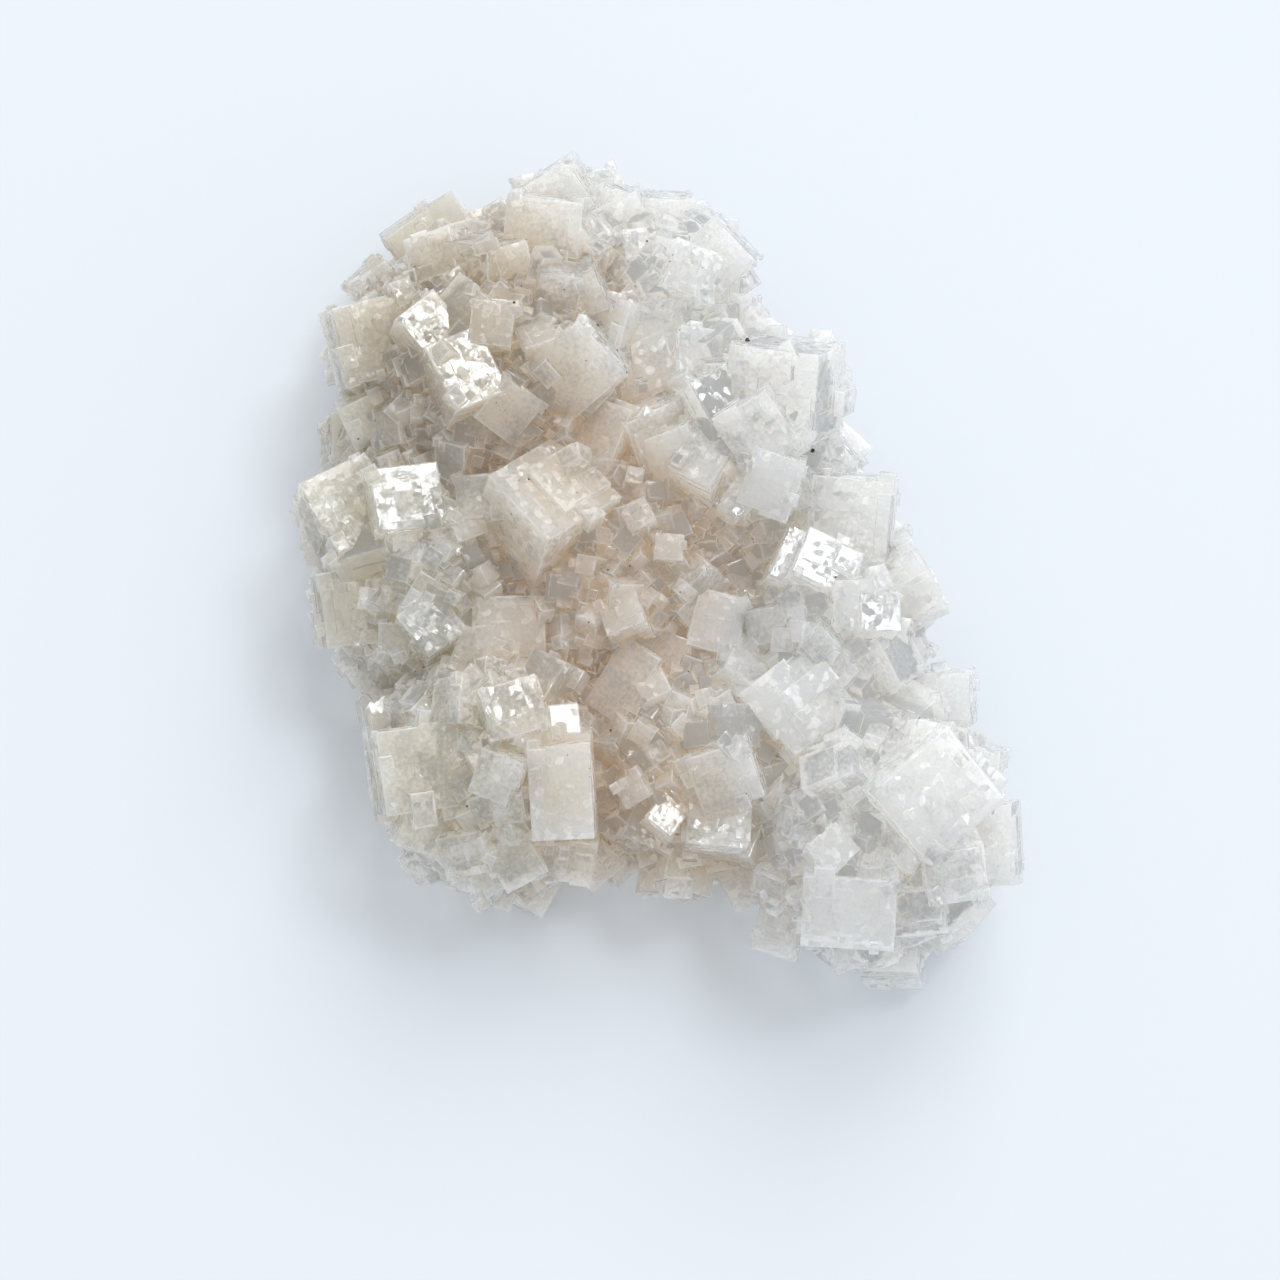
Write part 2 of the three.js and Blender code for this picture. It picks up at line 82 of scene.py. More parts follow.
GREAT = np.array([  # middle x, y; edges a, b, c; turn, lean, towards; rise above the core; whiteness, clearness
    # head
    (-9.4, 37.2, 5.4, 5.4, 5.6, 32, 30, 255, 0.1, 0.2, 0.7),
    (-11, 32.6, 7.6, 5.6, 6, -7, 24, 260, 0.3, 0.35, 0.25),
    (-21.4, 36.4, 4.2, 4.2, 4.4, 30, 14, 140, -0.5, 0.1, 0.8),
    (-18.2, 35.6, 3.2, 3.2, 4, 10, 4, 90, -0.5, 0.2, 0.7),
    (-16, 35.4, 2.4, 2.4, 3.2, 35, 8, 70, -0.5, 0.2, 0.7),
    (-5.4, 37.4, 3.8, 3.8, 4.6, 20, 14, 70, -0.5, 0.35, 0.25),
    (-3, 34.2, 5, 5, 5, 24, 26, 260, -0.3, 0.35, 0.25),
    (1.2, 34.4, 4.6, 4.4, 4.6, -4, 30, 255, -0.1, 0.35, 0.25),
    (5, 34.8, 3.8, 3.8, 4.4, 36, 28, 270, -0.3, 0.1, 0.9),
    (6, 29.4, 6.6, 6, 6, 43, 24, 250, 0.3, 0.45, 0.6),
    (8.6, 30.6, 3, 3, 3.6, 28, 26, 225, -0.3, 0.3, 0.8),
    (8, 25.2, 4.2, 4.4, 4.6, -10, 20, 230, 0.1, 0.6, 0.4),
    # upper left
    (-24.6, 34.4, 5.4, 5.2, 5, 36, 26, 290, -0.1, 0.15, 0.6),
    (-21.6, 28.6, 5, 5, 5, 12, 20, 165, -0.1, 0.35, 0.25),
    (-28.8, 29.6, 4.8, 4.6, 4.6, 44, 22, 305, -0.1, 0.15, 0.7),
    (-28, 21.2, 8.6, 7.8, 7.6, 16, 20, 320, 0.3, 0.25, 0.6),
    (-22.4, 20.2, 5, 5.4, 5.2, 42, 12, 10, 0.6, 0.35, 0.25),
    (-19, 15.2, 5.8, 7.2, 6, 26, 12, 10, 0.8, 0.35, 0.25),
    (-16, 20, 4.2, 4.4, 4.4, -6, 2, 270, 0.6, 0.75, 0),
    (-14.2, 28.2, 3.4, 3.2, 4, 17, 23, 285, 0.4, 0.8, 0),
    (-7.2, 24.8, 4.4, 4, 4, 20, 34, 263, 0.2, 0.35, 0.25),
    (-7.4, 17, 6.8, 7, 6, 41, 28, 258, 0.2, 0.35, 0.25),
    (-14.8, 12.8, 5, 4.8, 5, 53, 35, 290, -0.3, 0.35, 0.25),
    (-28.6, 13.8, 5.4, 4.6, 5, 25, 25, 287, 0.3, 0.35, 0.25),
    (-31.6, 13, 4, 5, 5, 0, 18, 0, 0.1, 0.2, 0.7),
    # upper right
    (0, 18.8, 8.2, 7, 7, 24, 4, 270, 1, 0.6, 0.2),
    (-4.8, 11, 5.6, 5.4, 5.2, -24, 21, 190, -0.1, 0.35, 0.25),
    (-0.6, 11, 6.2, 5.6, 5.6, 25, 36, 315, 0.1, 0.35, 0.25),
    (3.6, 19, 4, 4.6, 5, -4, 18, 345, 0.8, 0.8, 0),
    (13, 14.6, 8.6, 8.8, 8.6, -9, 33, 226, 1.6, 0.4, 0.7),
    (18.4, 10.6, 3.6, 3.6, 4.4, 37, 22, 235, 0.3, 0.3, 0.8),
    (10.2, 10.2, 6.2, 6.4, 5.6, 33, 30, 257, 0.2, 0.35, 0.25),
    (11.4, 5.2, 5.2, 5.8, 5.2, -20, 24, 260, 0.8, 0.9, 0),
    (7.6, 2.6, 2.4, 2.4, 4, 51, 12, 10, 0.2, 0.35, 0.25),
    (4.8, 6.6, 4.8, 4.8, 4.6, 59, 15, 125, -0.5, 0.35, 0.25),
    # left flank
    (-30.8, 3.6, 7.6, 7.6, 7.4, 31, 15, 37, 0.1, 0.2, 0.6),
    (-24.8, 3.4, 6.8, 6.4, 6, 10, 12, 10, 0.2, 0.35, 0.25),
    (-17, 3.8, 4.6, 4.4, 4.6, 4, 8, 165, 0.3, 0.35, 0.25),
    (-30.8, -5.6, 5.6, 6.8, 6, 9, 21, 310, 0.3, 0.15, 0.6),
    (-22.2, -8.4, 4.8, 5.2, 5, 39, 7, 0, 0.2, 0.5, 0.4),
    # middle
    (-10.8, 2.6, 9.2, 9.2, 8.6, 39, 25, 62, -0.1, 0.55, 0.1),
    (1.2, -1.4, 2.8, 2.6, 4, -4, 6, 325, 0.4, 0.9, 0),
    (-1.4, 1.4, 2.8, 2.8, 3.6, 27, 15, 143, 0.1, 0.35, 0.25),
    (-2.8, -8, 4, 3.8, 4.4, 18, 18, 153, 0.1, 0.8, 0),
    (6, -8, 5, 5.8, 5.4, -14, 7, 294, 0.8, 0.85, 0),
    (-2.6, -13.8, 4.4, 7.6, 4.6, -34, 18, 198, -0.3, 0.35, 0.25),
    # lower left foot
    (-14.2, -8.4, 6.8, 6, 6, 1, 4, 270, 0.2, 0.7, 0),
    (-27, -15.6, 4.8, 4.6, 5.2, 13, 12, 10, 0.3, 0.3, 0.5),
    (-23.6, -22.4, 8, 8.2, 8, 9, 18, 320, 0.3, 0.2, 0.4),
    (-14, -17.8, 5.8, 5.4, 5.4, 17, 8, 14, 0.1, 0.35, 0.25),
    (-9, -24.8, 6, 9, 7, 3, 20, 262, 1.2, 0.85, 0),
    (-9.2, -18.6, 3, 3, 4, 7, 12, 10, 0.8, 0.7, 0.2),
    (-15, -23.6, 4, 4.6, 5, -21, 24, 235, 0.4, 0.35, 0.25),
    (-22.4, -27.4, 5.6, 5.4, 5.6, -19, 25, 300, -0.3, 0.35, 0.25),
    (-18.4, -29.8, 4.6, 4.4, 5, 13, 34, 257, -0.1, 0.35, 0.25),
    (-8.4, -29.8, 5.2, 4.4, 5, -8, 32, 264, -0.1, 0.35, 0.25),
    (-13.8, -30.6, 4.6, 4.4, 5, 31, 34, 283, -0.3, 0.35, 0.25),
    # bridge above the notch
    (-1.6, -24.2, 3, 2.8, 4, 28, 30, 220, 0.1, 0.8, 0),
    (0.8, -27.2, 3.4, 3.2, 4.4, 53, 12, 10, 0.3, 0.9, 0),
    (2.8, -30.4, 2.4, 2.6, 4, 13, 12, 10, 0.1, 0.35, 0.25),
    (6, -27.8, 6, 5.4, 5.4, -4, 4, 35, 0.3, 0.35, 0.25),
    (7, -22.8, 6.2, 6, 5.4, 19, 30, 258, 0.3, 0.35, 0.25),
    (9.6, -31.6, 4.8, 4.4, 5, 25, 33, 250, 0.1, 0.3, 0.4),
    # right flank and shoulder
    (19.6, 2.8, 7.8, 8, 7.6, -6, 20, 244, 1, 0.35, 0.8),
    (12.6, -2.2, 2.2, 5.4, 5, -23, 12, 10, 0.2, 0.5, 0.3),
    (15.6, -3, 4.4, 5, 5.2, -23, 12, 10, 0.6, 0.5, 0.3),
    (18.2, -3.2, 2.4, 2.6, 5, -23, 12, 10, 0.6, 0.5, 0.3),
    (24.6, -4.2, 6, 6, 6, 30, 48, 293, 0.3, 0.3, 0.8),
    (21.4, -8.2, 4, 3.8, 5, 1, 12, 10, 1.2, 0.35, 0.6),
    (16, -10.4, 2.8, 2.8, 3.6, 44, 32, 270, 0.2, 0.35, 0.25),
    (14, -16.2, 8, 7.6, 7, 39, 6, 325, 1.2, 0.95, 0),
    (24.6, -14.8, 5.2, 6, 6, -2, 22, 261, 0.8, 0.45, 0.5),
    (29.4, -13.6, 5.2, 5.4, 6, 1, 20, 234, 0.6, 0.4, 0.7),
    # lower right foot
    (26, -25.6, 9.8, 9.2, 9, 41, 21, 309, 0.3, 0.8, 0.2),
    (32.2, -21, 5, 5, 6, -15, 24, 242, 0.2, 0.3, 0.9),
    (32, -29.2, 7, 7, 7, 2, 19, 227, 1, 0.35, 0.8),
    (28.4, -32.4, 5.6, 5.4, 6, 9, 32, 283, 1, 0.55, 0.3),
    (18.8, -36, 9, 7, 6.8, -3, 26, 259, 0.6, 0.75, 0.1),
    (16.8, -31.4, 3.8, 3.6, 4.6, 43, 7, 0, 0.2, 0.8, 0),
    (12.8, -36.2, 4, 5.8, 5.4, -14, 27, 224, 0.3, 0.2, 0.4),
    (25.6, -35.8, 5.2, 4.8, 5.4, 6, 30, 263, -0.1, 0.3, 0.5),
    (21.8, -38.6, 3.8, 3.6, 4.4, 26, 38, 263, -0.3, 0.3, 0.5),
    (28.4, -35.4, 4.2, 4, 4.6, 34, 32, 297, -0.3, 0.3, 0.6),
], float)
print(len(SWELLS), "swells,", len(GREAT), "great crystals")

# %% [markdown]
# ## Turning a crystal
# A crystal's attitude is three turns: one about its own upright, one that leans it, and one that stands its upright
# along the surface it grows from. Each is a rotation matrix, and numpy multiplies whole stacks of them at once.

# %% Rotations for many crystals at once
def turned(degrees):
    """Rotations about z: the matrix rows are (cos, -sin, 0), (sin, cos, 0) and (0, 0, 1)."""
    c, s = np.cos(degrees * DEGREE), np.sin(degrees * DEGREE)
    zero, one = np.zeros_like(c), np.ones_like(c)
    return np.stack([c, -s, zero, s, c, zero, zero, zero, one], -1).reshape(-1, 3, 3)


def leant(degrees, towards):
    """Rotations that tip z towards a direction of the plan: turn that direction to x, tip about y, turn back."""
    c, s = np.cos(degrees * DEGREE), np.sin(degrees * DEGREE)
    zero, one = np.zeros_like(c), np.ones_like(c)
    tip = np.stack([c, zero, s, zero, one, zero, -s, zero, c], -1).reshape(-1, 3, 3)
    return turned(towards) @ tip @ turned(-towards)


def standing(up):
    """Rotations that take z to each unit vector up by the shortest way: lean by the angle whose cosine is up's z."""
    lean = np.arccos(np.clip(up[:, 2], -1, 1)) / DEGREE
    towards = np.arctan2(up[:, 1], up[:, 0]) / DEGREE
    return leant(lean, towards)


def scatter(i, prime):
    """An even but patternless run of numbers between 0 and 1: the fraction of i times the prime's square root."""
    return (i * np.sqrt(prime)) % 1


# %% Heights on the core, and the great crystals' places
def core_height(x, y):
    """The highest swell at each point: widest height plus top radius times the root of 1 minus the plan distance."""
    flat = ((x[:, None] - SWELLS[:, 0]) / SWELLS[:, 2]) ** 2 + ((y[:, None] - SWELLS[:, 1]) / SWELLS[:, 3]) ** 2
    rise = (SWELLS[:, 4] - WIDEST_HEIGHT) * np.sqrt(np.maximum(0, 1 - flat))
    return WIDEST_HEIGHT + rise.max(1)


def share_out(points, swell):
    """How far points lie from a swell's middle, as a share of the way to its surface."""
    radii = np.array([swell[2], swell[3], swell[4] - WIDEST_HEIGHT])
    middle = np.array([swell[0], swell[1], WIDEST_HEIGHT])
    return np.linalg.norm((points - middle) / radii, axis=1)


def swallowed(points, crystals, depth):
    """True where a point lies within depth times the half-edges of any of the crystals."""
    own = np.einsum("ckj,pck->pcj", crystals["turn"], points[:, None] - crystals["middle"])
    return (np.abs(own) < depth * crystals["edges"] / 2).all(2).any(1)


WINDOW_LEAN, WINDOW_TOWARDS = 12, 10  # degrees; a crystal with just this lean mirrors the window

great = {
    "middle": np.column_stack([GREAT[:, 0], GREAT[:, 1], core_height(GREAT[:, 0], GREAT[:, 1]) + GREAT[:, 8]]),
    "edges": GREAT[:, 2:5],
    "turn": leant(GREAT[:, 6], GREAT[:, 7]) @ turned(GREAT[:, 5]),
    "white": GREAT[:, 9],
    "clear": GREAT[:, 10],
    "polish": ((GREAT[:, 6] == WINDOW_LEAN) & (GREAT[:, 7] == WINDOW_TOWARDS)).astype(float),
}
print("great crystals from", great["middle"].min(0).round(1), "to", great["middle"].max(0).round(1), "mm")

# %% [markdown]
# ## Crystals scattered by the golden angle
# Points that each turn by the golden angle from the last cover an ellipsoid evenly and never line up, as seeds do in
# a sunflower. Every point carries a cube with its own size and attitude. The spacing decides how fine the crust is.
# Points inside another swell, under the ground or deep in a crystal that is already there are left out.

# %% Cubes spread over the swells
def spread(spacing, least, span, lean, sunk, lowest, inside, taken, depth):
    """Cubes at golden-angle points on each swell: edge = least + span times a scattered number squared."""
    golden = np.pi * (3 - np.sqrt(5))
    parts, serial = [], 0
    for swell in SWELLS:
        radii = np.array([swell[2], swell[3], swell[4] - WIDEST_HEIGHT])
        count = int(np.floor(4 * np.pi * radii.mean() ** 2 / spacing ** 2 + 0.5))
        j = np.arange(count)
        z = 1 - (2 * j + 1) / count
        flat = np.sqrt(1 - z * z)
        out = np.column_stack([flat * np.cos(j * golden), flat * np.sin(j * golden), z])
        point = out * radii + np.array([swell[0], swell[1], WIDEST_HEIGHT])
        up = out / radii
        up /= np.linalg.norm(up, axis=1)[:, None]
        buried = np.any([share_out(point, other) < inside for other in SWELLS if other is not swell], axis=0)
        keep = ~buried & (point[:, 2] >= lowest)
        for crystals in taken:
            keep &= ~swallowed(point, crystals, depth)
        parts.append(np.column_stack([serial + 1 + j, point, up])[keep])
        serial += count
    rows = np.concatenate(parts)
    i, point, up = rows[:, 0], rows[:, 1:4], rows[:, 4:7]
    edge = least + span * scatter(i, 2) ** 2
    tilt = leant(lean * scatter(i, 7), 360 * scatter(i, 11)) @ turned(90 * scatter(i, 5))
    return {
        "middle": point - sunk * edge[:, None] * up,
        "edges": np.column_stack([edge, edge, edge * (0.8 + 0.5 * scatter(i, 3))]),
        "turn": standing(up) @ tilt,
        "white": scatter(i, 13),
        "clear": scatter(i, 17),
        "polish": 0.5 * scatter(i, 19),
    }


lesser = spread(
    spacing=7.6, least=3.0, span=3.2, lean=50, sunk=0.1, lowest=2.5, inside=0.97, taken=[great], depth=0.72
)
druse = spread(
    spacing=1.4, least=0.9, span=1.6, lean=60, sunk=0.05, lowest=0.5, inside=0.985, taken=[great, lesser], depth=0.95
)
print(len(lesser["middle"]), "lesser crystals,", len(druse["middle"]), "small ones")

# %% [markdown]
# ## Small crystals on the great ones
# A growing cube seldom stays clean: smaller cubes start on its edges and faces. Most are parallel to their host,
# because they follow its lattice, and that gives the stepped outlines that halite is known for. A few sit askew.

# %% Overgrowths on the great and lesser crystals
def overgrowth(host, each, least, span, askew, first):
    """Cubes on a host's sides: a point of the unit cube, pushed out to one side, times the host's half-edges."""
    i = first + np.arange(len(host["middle"]) * each)
    h = np.repeat(np.arange(len(host["middle"])), each)
    unit = np.column_stack([scatter(i, 2), scatter(i, 3), scatter(i, 5)]) * 2 - 1
    unit = np.sign(unit) * np.abs(unit) ** 0.45  # crowds them towards the edges
    side = (scatter(i, 7) * 3).astype(int)
    unit[np.arange(len(i)), side] = np.sign(unit[np.arange(len(i)), side])
    size = (least + span * scatter(i, 11) ** 2) * host["edges"][h].min(1)
    shape = size[:, None] * np.column_stack([np.ones(len(i)), 0.7 + 0.8 * scatter(i, 13), 0.7 + 0.8 * scatter(i, 17)])
    own = unit * host["edges"][h] / 2 * 0.94
    tip = np.where(scatter(i, 19) < askew, 45, 2.0)
    turn = host["turn"][h] @ leant(tip * scatter(i, 23), 360 * scatter(i, 29)) @ turned(tip * scatter(i, 31))
    middle = host["middle"][h] + np.einsum("pjk,pk->pj", host["turn"][h], own)
    reach = 0.87 * shape.max(1)[:, None]
    low, high = np.array(cad_box) / MM
    keep = (middle[:, 2] > 1.0) & (middle - reach > low - 0.5)[:, :2].all(1) & (middle + reach < high + 0.5).all(1)
    return {
        "middle": middle[keep],
        "edges": shape[keep],
        "turn": turn[keep],
        "white": (0.5 * host["white"][h] + 0.5 * scatter(i, 37))[keep],
        "clear": (0.5 * host["clear"][h] + 0.5 * scatter(i, 41))[keep],
        "polish": (0.4 * scatter(i, 43))[keep],
    }


def sheets(host, each, first):
    """Sheets of growth, parallel to a host: each stands one to six hundredths of a half-edge proud of one side."""
    i = first + np.arange(len(host["middle"]) * each)
    h = np.repeat(np.arange(len(host["middle"])), each)
    rows, side = np.arange(len(i)), (scatter(i, 7) * 3).astype(int)
    sign = np.where(scatter(i, 47) < 0.35, -1.0, 1.0)
    unit = (np.column_stack([scatter(i, 2), scatter(i, 3), scatter(i, 5)]) * 2 - 1) * 0.55
    share = np.column_stack([scatter(i, 11), scatter(i, 13), scatter(i, 17)]) * 0.55 + 0.22
    unit[rows, side] = sign * (1 + 0.012 + 0.05 * scatter(i, 19) ** 2 - share[rows, side])
    return {
        "middle": host["middle"][h] + np.einsum("pjk,pk->pj", host["turn"][h], unit * host["edges"][h] / 2),
        "edges": share * host["edges"][h],
        "turn": host["turn"][h],
        "white": (0.7 * host["white"][h] + 0.3 * scatter(i, 37)),
        "clear": host["clear"][h],
        "polish": host["polish"][h] * scatter(i, 43),
        "rimless": 0.6,  # mm added to the distance from the edge: no painted white highlight along the rim, so a sheet melts into its host
    }


on_great = overgrowth(great, each=14, least=0.08, span=0.24, askew=0.4, first=1)
on_lesser = overgrowth(lesser, each=10, least=0.12, span=0.32, askew=0.6, first=5001)
sheets_on_great = sheets(great, each=7, first=20001)
sheets_on_lesser = sheets(lesser, each=4, first=30001)
print(len(on_great["middle"]) + len(on_lesser["middle"]), "overgrowths,",
      len(sheets_on_great["middle"]) + len(sheets_on_lesser["middle"]), "sheets")

# %% [markdown]
# ## The surface of a crystal
# Halite's faces aren't plain squares. They grow in terraces, each a thin square sheet that stops short of the edge,
# and a starved crystal grows inwards steps instead, a hopper. So each side is a height over a grid of two
# parameters. The grid's lines come in pairs, close together, and the height changes only between the lines of a
# pair: that makes a crisp riser without a lot of faces. The six sides share the points of their edges.

# %% A closed grid over a cube
def cube_grid(cells):
    """Points (i, j, k) of a cubic lattice with one of them at an end, and the quads between them, outward."""
    a, b = np.meshgrid(np.arange(cells + 1), np.arange(cells + 1), indexing="ij")
    quads = []
    for axis in range(3):
        for end in (0, cells):
            p = np.zeros((cells + 1, cells + 1, 3), int)
            p[..., axis], p[..., (axis + 1) % 3], p[..., (axis + 2) % 3] = end, a, b
            ring = [p[:-1, :-1], p[1:, :-1], p[1:, 1:], p[:-1, 1:]]
            quads.append(np.stack(ring if end else ring[::-1], 2).reshape(-1, 4, 3))
    corners = np.concatenate(quads)
    points, index = np.unique(corners.reshape(-1, 3), axis=0, return_inverse=True)
    return points, index.reshape(-1, 4), np.repeat(np.arange(6), cells * cells)


# %% Crystals from their edges, turns and terraces
def crystal_surfaces(crystals, steps, first):
    """Each side's height at grid point (i, j) is the sum of the steps whose square holds both i and j."""
    count, cells = len(crystals["middle"]), 4 * steps + 1
    points, quads, side = cube_grid(cells)
    rng = np.random.default_rng(first)
    half = crystals["edges"] / 2

    inset = np.zeros((count, 3, 2, 2 * steps + 1))  # how far in each line lies from its end, as a share
    if steps:
        tread = rng.uniform(0.05, 0.85 / steps, (count, 3, 2, steps))
        riser = 0.05 / crystals["edges"][:, :, None, None] + np.zeros((count, 3, 2, steps))
        inset[..., 1::2] = np.cumsum(tread, -1) + np.cumsum(riser, -1) - riser
        inset[..., 2::2] = inset[..., 1::2] + riser
    low = -1 + inset[:, :, 0]
    high = (1 - inset[:, :, 1])[..., ::-1]
    lines = np.concatenate([low, high], -1) * half[:, :, None]

    rise = rng.uniform(-0.03, 0.022, (count, 3, 2, steps)) * crystals["edges"].min(1)[:, None, None, None]
    height = np.concatenate([np.zeros((count, 3, 2, 1)), np.cumsum(rise, -1)], -1)

    level = np.minimum(points, cells - points) // 2
    own = np.stack([lines[:, axis, points[:, axis]] for axis in range(3)], -1)
    flat = own.copy()
    for axis in range(3):
        others = np.minimum(level[:, (axis + 1) % 3], level[:, (axis + 2) % 3])
        for end, sign in ((0, -1), (1, 1)):
            there = points[:, axis] == end * cells
            own[:, there, axis] += sign * height[:, axis, end][:, others[there]]
    world = crystals["middle"][:, None] + np.einsum("pjk,pik->pij", crystals["turn"], own)

    axis = side // 2
    face_u = np.take_along_axis(flat[:, quads], ((axis + 1) % 3)[None, :, None, None], 3)[..., 0]
    face_v = np.take_along_axis(flat[:, quads], ((axis + 2) % 3)[None, :, None, None], 3)[..., 0]
    halves = np.stack([half[:, (axis + 1) % 3], half[:, (axis + 2) % 3]], -1) + crystals.get("rimless", 0)
    shift = np.arange(count)[:, None, None] * len(points)
    faces = count * len(quads)
    return {
        "points": world.reshape(-1, 3),
        "quads": (quads[None] + shift).reshape(-1, 4),
        "crystal": np.repeat(first + np.arange(count), len(quads)),
        "white": np.repeat(crystals["white"], len(quads)),
        "clear": np.repeat(crystals["clear"], len(quads)),
        "polish": np.repeat(crystals["polish"], len(quads)),
        "grain": rng.random((count, 6))[:, side].reshape(-1),
        "place": np.stack([face_u, face_v], -1).reshape(faces * 4, 2),
        "half": np.repeat(halves.reshape(faces, 2), 4, 0),
    }


def swell_surfaces(first):
    """A cube's grid pushed out to unit length is a ball without poles; each swell scales it by its half-widths."""
    points, quads, _ = cube_grid(10)
    ball = points - 5.0
    ball /= np.linalg.norm(ball, axis=1)[:, None]
    radii = np.column_stack([SWELLS[:, 2], SWELLS[:, 3], SWELLS[:, 4] - WIDEST_HEIGHT])
    middle = np.column_stack([SWELLS[:, 0], SWELLS[:, 1], np.full(len(SWELLS), WIDEST_HEIGHT)])
    world = middle[:, None] + ball * radii[:, None] * 0.985
    faces = len(SWELLS) * len(quads)
    return {
        "points": world.reshape(-1, 3),
        "quads": (quads[None] + np.arange(len(SWELLS))[:, None, None] * len(points)).reshape(-1, 4),
        "crystal": np.repeat(first + np.arange(len(SWELLS)), len(quads)),
        "white": np.full(faces, 0.2),
        "clear": np.full(faces, 0.0),
        "polish": np.full(faces, 0.0),
        "grain": np.full(faces, 0.5),
        "place": np.full((faces * 4, 2), 0.0),
        "half": np.full((faces * 4, 2), 9.0),
    }


groups = [(great, 2), (lesser, 1), (druse, 0), (on_great, 0), (on_lesser, 0)]
groups += [(sheets_on_great, 0), (sheets_on_lesser, 0)]
surfaces, first = [], 0
for crystals, steps in groups:
    surfaces.append(crystal_surfaces(crystals, steps, first))
    first += len(crystals["middle"])
surfaces.append(swell_surfaces(first))
print(first, "crystals,", sum(len(s["quads"]) for s in surfaces), "quads before they grow together")


# %% All of them as one mesh of separate closed shells
def mesh_from(name, shells):
    """Stacks the shells' arrays into one mesh: quads shift by the points that come before them."""
    shift = np.cumsum([0] + [len(s["points"]) for s in shells[:-1]])
    points = np.concatenate([s["points"] for s in shells]) * MM
    quads = np.concatenate([s["quads"] + k for s, k in zip(shells, shift)])
    mesh = bpy.data.meshes.new(name)
    mesh.vertices.add(len(points))
    mesh.vertices.foreach_set("co", points.astype(np.float32).ravel())
    mesh.loops.add(quads.size)
    mesh.loops.foreach_set("vertex_index", quads.astype(np.int32).ravel())
    mesh.polygons.add(len(quads))
    mesh.polygons.foreach_set("loop_start", np.arange(0, quads.size, 4, dtype=np.int32))
    mesh.update(calc_edges=True)
    for key in ("white", "clear", "polish", "grain"):
        values = np.concatenate([s[key] for s in shells]).astype(np.float32)
        mesh.attributes.new(key, "FLOAT", "FACE").data.foreach_set("value", values)
    ids = np.concatenate([s["crystal"] for s in shells]).astype(np.int32)
    mesh.attributes.new("crystal", "INT", "FACE").data.foreach_set("value", ids)
    for key in ("place", "half"):
        values = np.concatenate([s[key] for s in shells]).astype(np.float32)
        mesh.uv_layers.new(name=key).data.foreach_set("uv", values.ravel())
    return mesh


crystals_mesh = mesh_from("crystal_cluster", surfaces)
cluster = bpy.data.objects.new("crystal_cluster", crystals_mesh)
bpy.context.scene.collection.objects.link(cluster)

# %% [markdown]
# ## Growing together
# The shells overlap, and light can't tell the inside of overlapping shells from the outside. A union makes them one
# closed skin. The Mesh Boolean node's Manifold solver joins thousands of closed shells in seconds when each is an
# instance of its own, and keeps their attributes. A second boolean cuts the cluster flat where it rests, and the
# pockets that are sealed inside are islands with few faces, so they are deleted.

# %% The union as a node tree
BED = 300 * MM  # larger than the cluster


def growing_together():
    """Split by crystal, unite, cut off what is under the ground, and keep the island with the most faces."""
    tree = bpy.data.node_groups.new("growing together", "GeometryNodeTree")
    tree.interface.new_socket("Geometry", in_out="INPUT", socket_type="NodeSocketGeometry")
    tree.interface.new_socket("Geometry", in_out="OUTPUT", socket_type="NodeSocketGeometry")

    def node(kind, settings=None, **values):
        made = tree.nodes.new(kind)
        for key, value in (settings or {}).items():
            setattr(made, key, value)
        for key, value in values.items():
            socket = made.inputs[int(key[1:])] if key[1:].isdigit() else made.inputs[key.replace("_", " ")]
            if isinstance(value, bpy.types.NodeSocket):
                tree.links.new(value, socket)
            else:
                socket.default_value = value
        return made

    start = node("NodeGroupInput")
    crystal = node("GeometryNodeInputNamedAttribute", {"data_type": "INT"}, Name="crystal")
    split = node("GeometryNodeSplitToInstances", {"domain": "FACE"}, s0=start.outputs[0])
    tree.links.new(crystal.outputs["Attribute"], split.inputs["Group ID"])
    union = node("GeometryNodeMeshBoolean", {"operation": "UNION", "solver": "MANIFOLD"})
    tree.links.new(split.outputs["Instances"], union.inputs["Mesh 2"])
    block = node("GeometryNodeMeshCube", None, Size=(BED, BED, BED))
    below = node("GeometryNodeTransform", None, s0=block.outputs["Mesh"], Translation=(0, 0, -BED / 2))
    cut = node("GeometryNodeMeshBoolean", {"operation": "DIFFERENCE", "solver": "MANIFOLD"})
    tree.links.new(union.outputs["Mesh"], cut.inputs["Mesh 1"])
    tree.links.new(below.outputs[0], cut.inputs["Mesh 2"])
    island = node("GeometryNodeInputMeshIsland")
    total = node("GeometryNodeAccumulateField", {"data_type": "INT", "domain": "FACE"})
    tree.links.new(island.outputs["Island Index"], total.inputs["Group ID"])
    most = node("GeometryNodeAttributeStatistic", {"data_type": "FLOAT", "domain": "FACE"}, s0=cut.outputs["Mesh"])
    tree.links.new(total.outputs["Total"], most.inputs["Attribute"])
    fewer = node("FunctionNodeCompare", {"data_type": "FLOAT", "operation": "LESS_THAN"})
    tree.links.new(total.outputs["Total"], fewer.inputs[0])
    tree.links.new(most.outputs["Max"], fewer.inputs[1])
    outer = node("GeometryNodeDeleteGeometry", {"domain": "FACE"}, s0=cut.outputs["Mesh"], Selection=fewer.outputs[0])
    end = node("NodeGroupOutput")
    tree.links.new(outer.outputs[0], end.inputs[0])
    return tree


cluster.modifiers.new("growing together", "NODES").node_group = growing_together()
evaluated = cluster.evaluated_get(bpy.context.evaluated_depsgraph_get())
grown = bpy.data.meshes.new_from_object(evaluated)
cluster.modifiers.clear()
cluster.data = grown
cluster.data.name = "crystal_cluster"
bpy.data.meshes.remove(crystals_mesh)
grown.shade_flat()  # every side of a crystal is flat, so no normals are shared across an edge
grown.calc_loop_triangles()
print("grown together:", len(grown.polygons), "faces,", len(grown.loop_triangles), "triangles")
